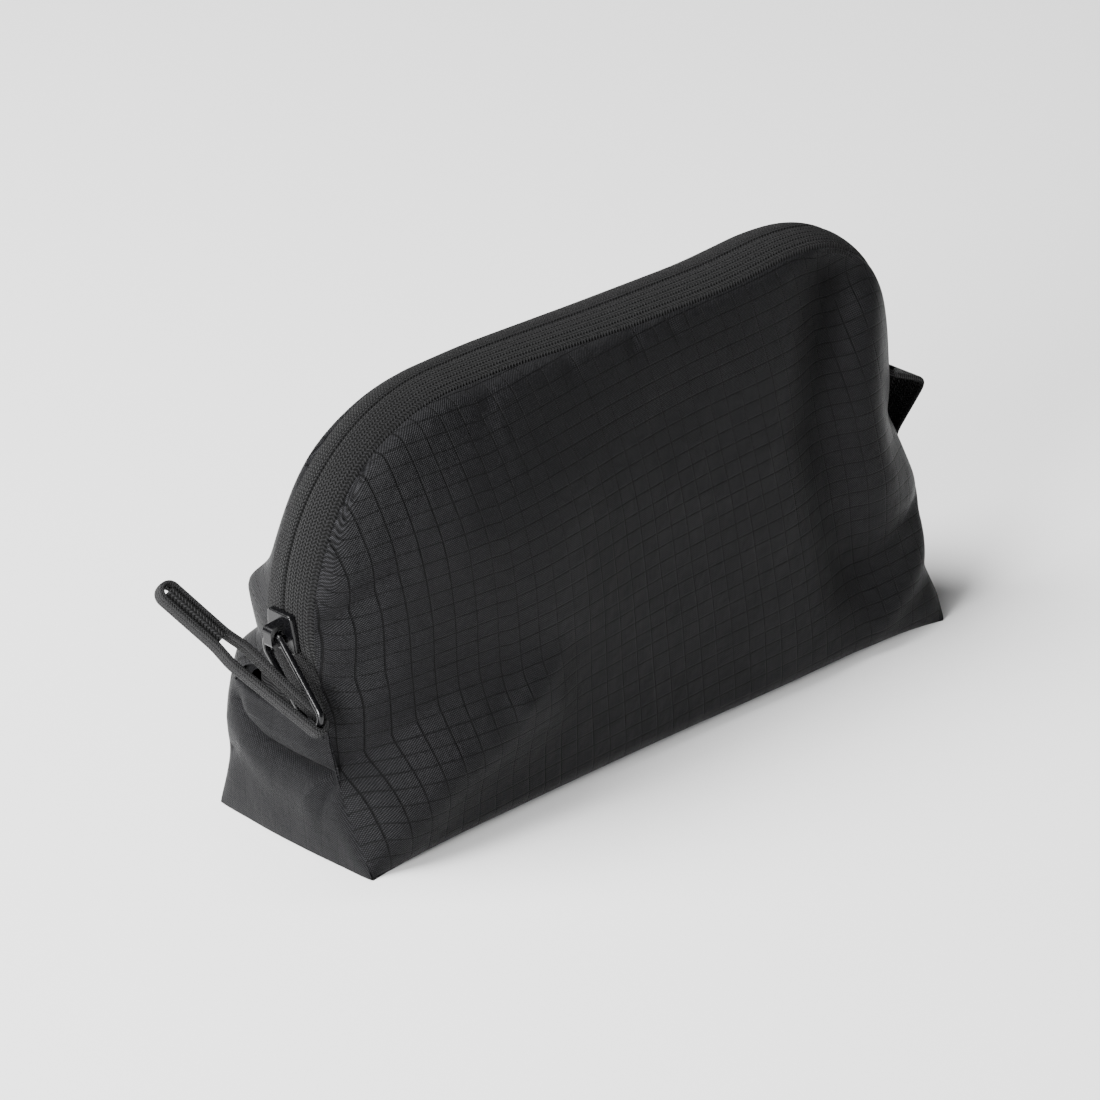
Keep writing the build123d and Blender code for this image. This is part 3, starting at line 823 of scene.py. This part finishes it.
def build_stitches():
    """Rows of stitches along the fold of each gusset's mouth."""
    shape = bpy.context.scene.pouch_shape
    pitch = shape.stitch / MM
    for side, word in ((-1, "left"), (1, "right")):
        shares = np.linspace(0.05, 0.95, 200)
        line = gusset_surface(side, shares, np.array([MOUTH - 2.9]))[0]
        line[:, 0] += side * 0.42
        steps = np.r_[0, np.cumsum(np.linalg.norm(np.diff(line, axis=0), axis=1))]
        count = int(steps[-1] / pitch)
        pattern = stitch_mesh(pitch * 0.78, 0.26)
        base = np.array([v.co[:] for v in pattern.data.vertices]) / MM
        faces = [tuple(p.vertices) for p in pattern.data.polygons]
        bpy.data.objects.remove(pattern)
        verts, all_faces = [], []
        for i in range(count):
            middle = (i + 0.5) * steps[-1] / count
            at = np.array([np.interp(middle, steps, line[:, k]) for k in range(3)])
            ahead = np.array([np.interp(middle + 0.5, steps, line[:, k]) for k in range(3)]) - at
            along = ahead / np.linalg.norm(ahead)
            out = np.array([side, 0.0, 0.0])
            out = out - along * (out @ along)
            out /= np.linalg.norm(out)
            third = np.cross(along, out)
            placed = at + base[:, :1] * third + base[:, 1:2] * along + base[:, 2:] * out
            all_faces += [tuple(len(verts) * len(base) + k for k in f) for f in faces]
            verts.append(placed)
        piece = mesh_piece("gusset_stitches_" + word, np.vstack(verts), all_faces)
        face_outwards(piece)
        smooth(piece)
        dress(piece, "bag", "webbing", kept_material(thread_material, "sewing_thread"))


def build_tapes():
    shape = bpy.context.scene.pouch_shape
    for face, word in ((-1, "front"), (1, "back")):
        points, flat = tape_grid(face, shape.slot / MM)
        piece = grid_piece("zip_cloth_" + word, points, flat, flip=face < 0)
        soften(piece)
        thicken(piece, shape.tape_thickness / MM)
        smooth(piece)
        dress(piece, "bag", "zip_tape", kept_material(tape_material, "zip_tape_knit"), "zip_tape_" + word)


def build_coils():
    """The zip's coils under the slot, as rows of small rounded turns."""
    for face, word in ((-1, "front"), (1, "back")):
        start, pitch, per_turn = 18.0, 1.3, 6  # from the zip's ends, and of each turn, in millimetres
        turns = int((ZIP_LENGTH - 2 * start) / pitch)
        count = turns * per_turn + 1
        s = np.linspace(start, ZIP_LENGTH - start, count)
        swell = 0.72 + 0.28 * np.abs(np.cos(pi * np.arange(count) / per_turn))
        rings = []
        for angle in np.linspace(0, 2 * pi, 8, endpoint=False):
            y = 2.05 + 1.0 * cos(angle) * swell
            drop = 1.75 - 0.75 * sin(angle) * swell
            x, z, _, _ = zip_line(s, drop + 0.15)
            rings.append(np.stack([x, face * y, z], axis=1))
        points = np.stack(rings, axis=1)
        faces = grid_faces(count, 8, closed=True)
        faces += [tuple(range(8)), tuple(range((count - 1) * 8, count * 8))]
        piece = mesh_piece("zip_turns_" + word, points.reshape(-1, 3), faces)
        face_outwards(piece)
        smooth(piece, 50)
        dress(piece, "bag", "zip_coil", kept_material(nylon_coil_material, "zip_coil_nylon"),
              "zip_coil_" + word)


def build_lining():
    """Lining cloth just inside the body cloth and the gussets."""
    rows, bottom = 40, 16
    grid = body_grid(70, rows, bottom)
    inner = grid.copy()
    inner[..., 0] *= 0.982
    deep = eased(grid[..., 2], [0, 20, 90, TOP], [1.6, 2.4, 2.4, 2.0])
    inner[..., 1] -= np.sign(grid[..., 1]) * np.minimum(np.abs(grid[..., 1]), deep)
    inner[..., 2] = 1.4 + grid[..., 2] * 0.955
    piece = grid_piece("lining_cloth_body", inner, body_flat(grid, rows))
    thicken(piece, 0.25)
    smooth(piece)
    material = kept_material(ripstop_material, "lining_cloth_weave", 0.0)
    dress(piece, "bag", "lining_cloth", material, "lining_body")
    for side, word in ((-1, "left"), (1, "right")):
        heights = np.linspace(1.8, MOUTH - 3.0, 30)
        shares = np.linspace(0.06, 0.94, 36)
        points = gusset_surface(side, shares, heights)
        points[..., 0] -= side * 2.0
        end = grid_piece("lining_cloth_" + word, points, points[..., 1:], flip=side > 0)
        thicken(end, 0.25)
        smooth(end)
        dress(end, "bag", "lining_cloth", material, "lining_end_" + word)


def band_piece(name, path, across, half_wide, thick, closed=False, bulge=0.0):
    """A flat band with rounded edges swept along a path: across is its width's direction."""
    path = np.asarray(path, dtype=float)
    if closed:
        ahead = np.roll(path, -1, axis=0) - np.roll(path, 1, axis=0)
    else:
        ahead = np.gradient(path, axis=0)
    ahead /= np.linalg.norm(ahead, axis=1)[:, None]
    across = np.asarray(across, dtype=float)
    face = np.cross(across[None], ahead)
    face /= np.linalg.norm(face, axis=1)[:, None]
    r = thick / 2
    profile = []
    for side in (1, -1):
        for turn in np.linspace(-pi / 2, pi / 2, 6) + (0 if side > 0 else pi):
            profile.append((side * (half_wide - r) + r * cos(turn), r * sin(turn)))
        for share in (0.5, 0.0, -0.5):
            profile.append((side * (half_wide - r) * share, side * (r + bulge * (1 - share ** 2))))
    profile = np.array(profile)
    points = path[:, None] + profile[None, :, :1] * across[None, None] + profile[None, :, 1:] * face[:, None]
    rows, columns = points.shape[:2]
    steps = np.r_[0, np.cumsum(np.linalg.norm(np.diff(path, axis=0), axis=1))]
    round_steps = np.r_[0, np.cumsum(np.linalg.norm(np.diff(profile, axis=0), axis=1))]
    flat = np.stack(np.broadcast_arrays(round_steps[None], steps[:, None]), axis=-1)
    faces = grid_faces(rows, columns, closed=True)
    if closed:
        last = (rows - 1) * columns
        faces += [(last + c, last + (c + 1) % columns, (c + 1) % columns, c) for c in range(columns)]
    else:
        faces += [tuple(range(columns)), tuple(range((rows - 1) * columns, rows * columns))]
    piece = mesh_piece(name, points.reshape(-1, 3), faces, flat.reshape(-1, 2))
    face_outwards(piece)
    smooth(piece, 50)
    return piece


def build_hang_loop():
    """The folded webbing at the zip's closed end."""
    low, high = box_mm("hang_loop")
    thick = 1.5
    half = thick / 2
    tip = high[0] - half
    inner = low[0] + half
    upper = zip_line(ZIP_LENGTH - RUN_LENGTH - RADIUS * RUN)[0] + half + 0.05
    middle = (low[2] + 4.0 + high[2]) / 2 + 2.0
    corners = [(inner, 0, low[2]), (inner, 0, low[2] + 4.2), (tip - 1.0, 0, middle - 1.2), (tip, 0, middle),
               (tip - 1.0, 0, middle + 1.0), (upper, 0, high[2] - 2.0), (upper, 0, high[2])]
    path = rounded(resampled(np.array(corners, dtype=float), 90), 30)
    piece = band_piece("hang_loop_webbing", path, (0, 1, 0), (high[1] - low[1]) / 2, thick)
    dress(piece, "bag", "webbing", kept_material(webbing_material, "black_webbing"), "hang_loop")


def tab_axes():
    """The pull tab's eye, and its directions along, across and over."""
    joint = HINGES["pull_tab_swing"]
    eye = np.array(joint["pos_m"]) / MM
    across = np.array(joint["axis"])
    across = across / np.linalg.norm(across)
    low, high = box_mm("pull_core")
    middle = (low + high) / 2
    along = middle - eye
    along -= across * (along @ across)
    along /= np.linalg.norm(along)
    over = np.cross(along, across)
    lean = radians(1.9) * np.sign(over[0])
    along, over = along * cos(lean) - over * sin(lean), over * cos(lean) + along * sin(lean)
    return eye, along, across, over


def tab_reach(eye, along):
    """How far the tab's tip is from its eye."""
    strap = FRAME["nodes"]["pull_strap"]
    points = np.array([v.co[:] for v in strap.data.vertices]) / MM
    return ((points - eye) @ along).max()


def build_pull_tab():
    """A strap folded round the ring, closed by a sewn grip at its outer end."""
    eye, along, across, over = tab_axes()
    reach = tab_reach(eye, along)
    thick = 1.3
    bend = 1.4 + thick / 2
    grip = 17.0
    stations = np.linspace(0, 1, 70)
    far = reach - bend - thick / 2 - 1.5
    lengths = far * stations
    gap = eased(lengths, [0, 3, far - grip - 6, far - grip, far], [bend, bend * 1.05, 3.5, 2.5, 2.55], 2.0)
    upper = eye + lengths[:, None] * along + gap[:, None] * over
    lower = eye + lengths[::-1, None] * along - gap[::-1, None] * over
    turns = np.linspace(pi / 2, -pi / 2, 18)[1:-1, None]
    tip = eye + far * along + gap[-1] * (np.cos(turns) * along + np.sin(turns) * over)
    turns = np.linspace(-pi / 2, -3 * pi / 2, 18)[1:-1, None]
    root = eye + bend * (np.cos(turns) * along + np.sin(turns) * over)
    path = np.vstack([upper, tip, lower, root])
    strap = band_piece("pull_strap_webbing", path, across, 2.05, thick, closed=True, bulge=0.12)
    material = kept_material(webbing_material, "pull_tab_webbing", 0.7)
    dress(strap, "pull_tab", "webbing", material, "pull_strap")
    middle = eye + np.linspace(far - grip, far + 0.4, 46)[:, None] * along
    core = band_piece("pull_grip_core", middle, across, 2.22, 3.7)
    dress(core, "pull_tab", "webbing", kept_material(webbing_material, "pull_grip_braid", 1.0), "pull_core")


def finish_metal():
    """Enamel on the CAD slider, ring and stops, which keep their shape."""
    material = kept_material(enamel_material, "black_enamel")
    for name in ("slider", "puller_ring", "zip_top_stops", "zip_bottom_stop"):
        node = FRAME["nodes"][name]
        if not node.material_slots:
            node.data.materials.append(material)
        for place in node.material_slots:
            place.material = material


def add_softbox(name, place, size, power):
    """A square lamp aimed at the pouch."""
    data = bpy.data.lights.new(name, "AREA")
    data.shape = "SQUARE"
    data.size = size
    data.energy = power * bpy.context.scene.pouch_stage.light
    lamp = bpy.data.objects.new(name, data)
    lamp.location = place
    direction = Vector((0, 0, 0.05)) - lamp.location
    lamp.rotation_euler = direction.to_track_quat("-Z", "Y").to_euler()
    bpy.context.scene.collection.objects.link(lamp)


def build_stage():
    stage = bpy.context.scene.pouch_stage
    select_none()
    bpy.ops.mesh.primitive_plane_add(size=9.0, location=(0, 0, 0))
    floor = bpy.context.active_object
    floor.name = "floor"
    bpy.ops.object.mode_set(mode="EDIT")
    bpy.ops.mesh.select_all(action="SELECT")
    bpy.ops.mesh.subdivide(number_cuts=8)
    bpy.ops.object.mode_set(mode="OBJECT")
    floor.data.materials.append(kept_material(floor_material, "pale_floor"))

    world = bpy.data.worlds.new("soft_room")
    world.use_nodes = True
    fill(world.node_tree.nodes["Background"], {"Color": (1.0, 1.0, 1.0, 1.0), "Strength": 0.05})
    bpy.context.scene.world = world
    add_softbox("left_softbox", (-1.93, -0.55, 0.50), 0.7, 115.0)
    add_softbox("top_softbox", (-0.75, 0.45, 1.6), 1.3, 105.0)

    right = Vector((cos(stage.azimuth), sin(stage.azimuth), 0))
    back = Vector((sin(stage.azimuth) * cos(stage.elevation), -cos(stage.azimuth) * cos(stage.elevation),
                   sin(stage.elevation)))
    up = back.cross(right)
    target = Vector((0, 0, 0.060)) - 0.0112 * right - 0.0119 * up
    data = bpy.data.cameras.new("camera")
    data.sensor_width = 36.0
    data.lens = stage.lens
    data.dof.use_dof = False
    data.clip_start = 0.01
    camera = bpy.data.objects.new("camera", data)
    bpy.context.scene.collection.objects.link(camera)
    turn = Matrix((right, up, back)).transposed().to_4x4()
    camera.matrix_world = Matrix.Translation(target + stage.distance * back) @ turn
    bpy.context.scene.camera = camera


# ---------------------------------------------------------------- operators

class POUCH_OT_body_cloth(bpy.types.Operator):
    """Build the front, bottom and back as one creased cloth"""
    bl_idname = "pouch.body_cloth"
    bl_label = "Body Cloth"
    bl_options = {"REGISTER", "UNDO"}

    def execute(self, context):
        build_body_cloth()
        return {"FINISHED"}


class POUCH_OT_gussets(bpy.types.Operator):
    """Build the two creased end gussets"""
    bl_idname = "pouch.gussets"
    bl_label = "End Gussets"
    bl_options = {"REGISTER", "UNDO"}

    def execute(self, context):
        build_gussets()
        return {"FINISHED"}


class POUCH_OT_hems(bpy.types.Operator):
    """Build the folded edge of each gusset's mouth"""
    bl_idname = "pouch.hems"
    bl_label = "Gusset Folds"
    bl_options = {"REGISTER", "UNDO"}

    def execute(self, context):
        build_hems()
        return {"FINISHED"}


class POUCH_OT_stitches(bpy.types.Operator):
    """Build the stitches along the gussets' folds"""
    bl_idname = "pouch.stitches"
    bl_label = "Stitches"
    bl_options = {"REGISTER", "UNDO"}

    def execute(self, context):
        build_stitches()
        return {"FINISHED"}


class POUCH_OT_tapes(bpy.types.Operator):
    """Build the two knitted zip tapes"""
    bl_idname = "pouch.tapes"
    bl_label = "Zip Tapes"
    bl_options = {"REGISTER", "UNDO"}

    def execute(self, context):
        build_tapes()
        return {"FINISHED"}


class POUCH_OT_coils(bpy.types.Operator):
    """Build the zip's coils under its slot"""
    bl_idname = "pouch.coils"
    bl_label = "Zip Coils"
    bl_options = {"REGISTER", "UNDO"}

    def execute(self, context):
        build_coils()
        return {"FINISHED"}


class POUCH_OT_lining(bpy.types.Operator):
    """Build the lining inside the body and the ends"""
    bl_idname = "pouch.lining"
    bl_label = "Lining"
    bl_options = {"REGISTER", "UNDO"}

    def execute(self, context):
        build_lining()
        return {"FINISHED"}


class POUCH_OT_hang_loop(bpy.types.Operator):
    """Build the webbing loop that the pouch hangs by"""
    bl_idname = "pouch.hang_loop"
    bl_label = "Hang Loop"
    bl_options = {"REGISTER", "UNDO"}

    def execute(self, context):
        build_hang_loop()
        return {"FINISHED"}


class POUCH_OT_pull_tab(bpy.types.Operator):
    """Build the pull tab's strap and its sewn grip"""
    bl_idname = "pouch.pull_tab"
    bl_label = "Pull Tab"
    bl_options = {"REGISTER", "UNDO"}

    def execute(self, context):
        build_pull_tab()
        return {"FINISHED"}


class POUCH_OT_metal(bpy.types.Operator):
    """Give the slider, ring and stops their black enamel"""
    bl_idname = "pouch.metal"
    bl_label = "Metal Finish"
    bl_options = {"REGISTER", "UNDO"}

    def execute(self, context):
        finish_metal()
        return {"FINISHED"}


class POUCH_OT_stage(bpy.types.Operator):
    """Build the floor, the lights and the camera"""
    bl_idname = "pouch.stage"
    bl_label = "Stage"
    bl_options = {"REGISTER", "UNDO"}

    def execute(self, context):
        build_stage()
        return {"FINISHED"}


OPERATORS = (
    POUCH_OT_body_cloth,
    POUCH_OT_gussets,
    POUCH_OT_hems,
    POUCH_OT_stitches,
    POUCH_OT_tapes,
    POUCH_OT_coils,
    POUCH_OT_lining,
    POUCH_OT_hang_loop,
    POUCH_OT_pull_tab,
    POUCH_OT_metal,
    POUCH_OT_stage,
)


class POUCH_PT_sidebar(bpy.types.Panel):
    """Lists the pouch's settings and the steps that build it"""
    bl_idname = "POUCH_PT_sidebar"
    bl_label = "Zip Pouch"
    bl_space_type = "VIEW_3D"
    bl_region_type = "UI"
    bl_category = "Pouch"

    def draw(self, context):
        layout = self.layout
        for title, group in (("Shape", context.scene.pouch_shape), ("Looks", context.scene.pouch_looks),
                             ("Stage", context.scene.pouch_stage)):
            box = layout.box()
            box.label(text=title)
            for key in group.bl_rna.properties.keys():
                if key not in ("rna_type", "name"):
                    box.prop(group, key)
        for operator in OPERATORS:
            layout.operator(operator.bl_idname)


GROUPS = {"pouch_shape": PouchShape, "pouch_looks": PouchLooks, "pouch_stage": PouchStage}


def register():
    for name, group in GROUPS.items():
        bpy.utils.register_class(group)
        setattr(bpy.types.Scene, name, bpy.props.PointerProperty(type=group))
    for item in OPERATORS + (POUCH_PT_sidebar,):
        bpy.utils.register_class(item)


def unregister():
    for item in reversed(OPERATORS + (POUCH_PT_sidebar,)):
        bpy.utils.unregister_class(item)
    for name, group in GROUPS.items():
        delattr(bpy.types.Scene, name)
        bpy.utils.unregister_class(group)


def main():
    register()
    for operator in OPERATORS:
        group, name = operator.bl_idname.split(".")
        getattr(getattr(bpy.ops, group), name)()


if __name__ == "__main__":
    main()
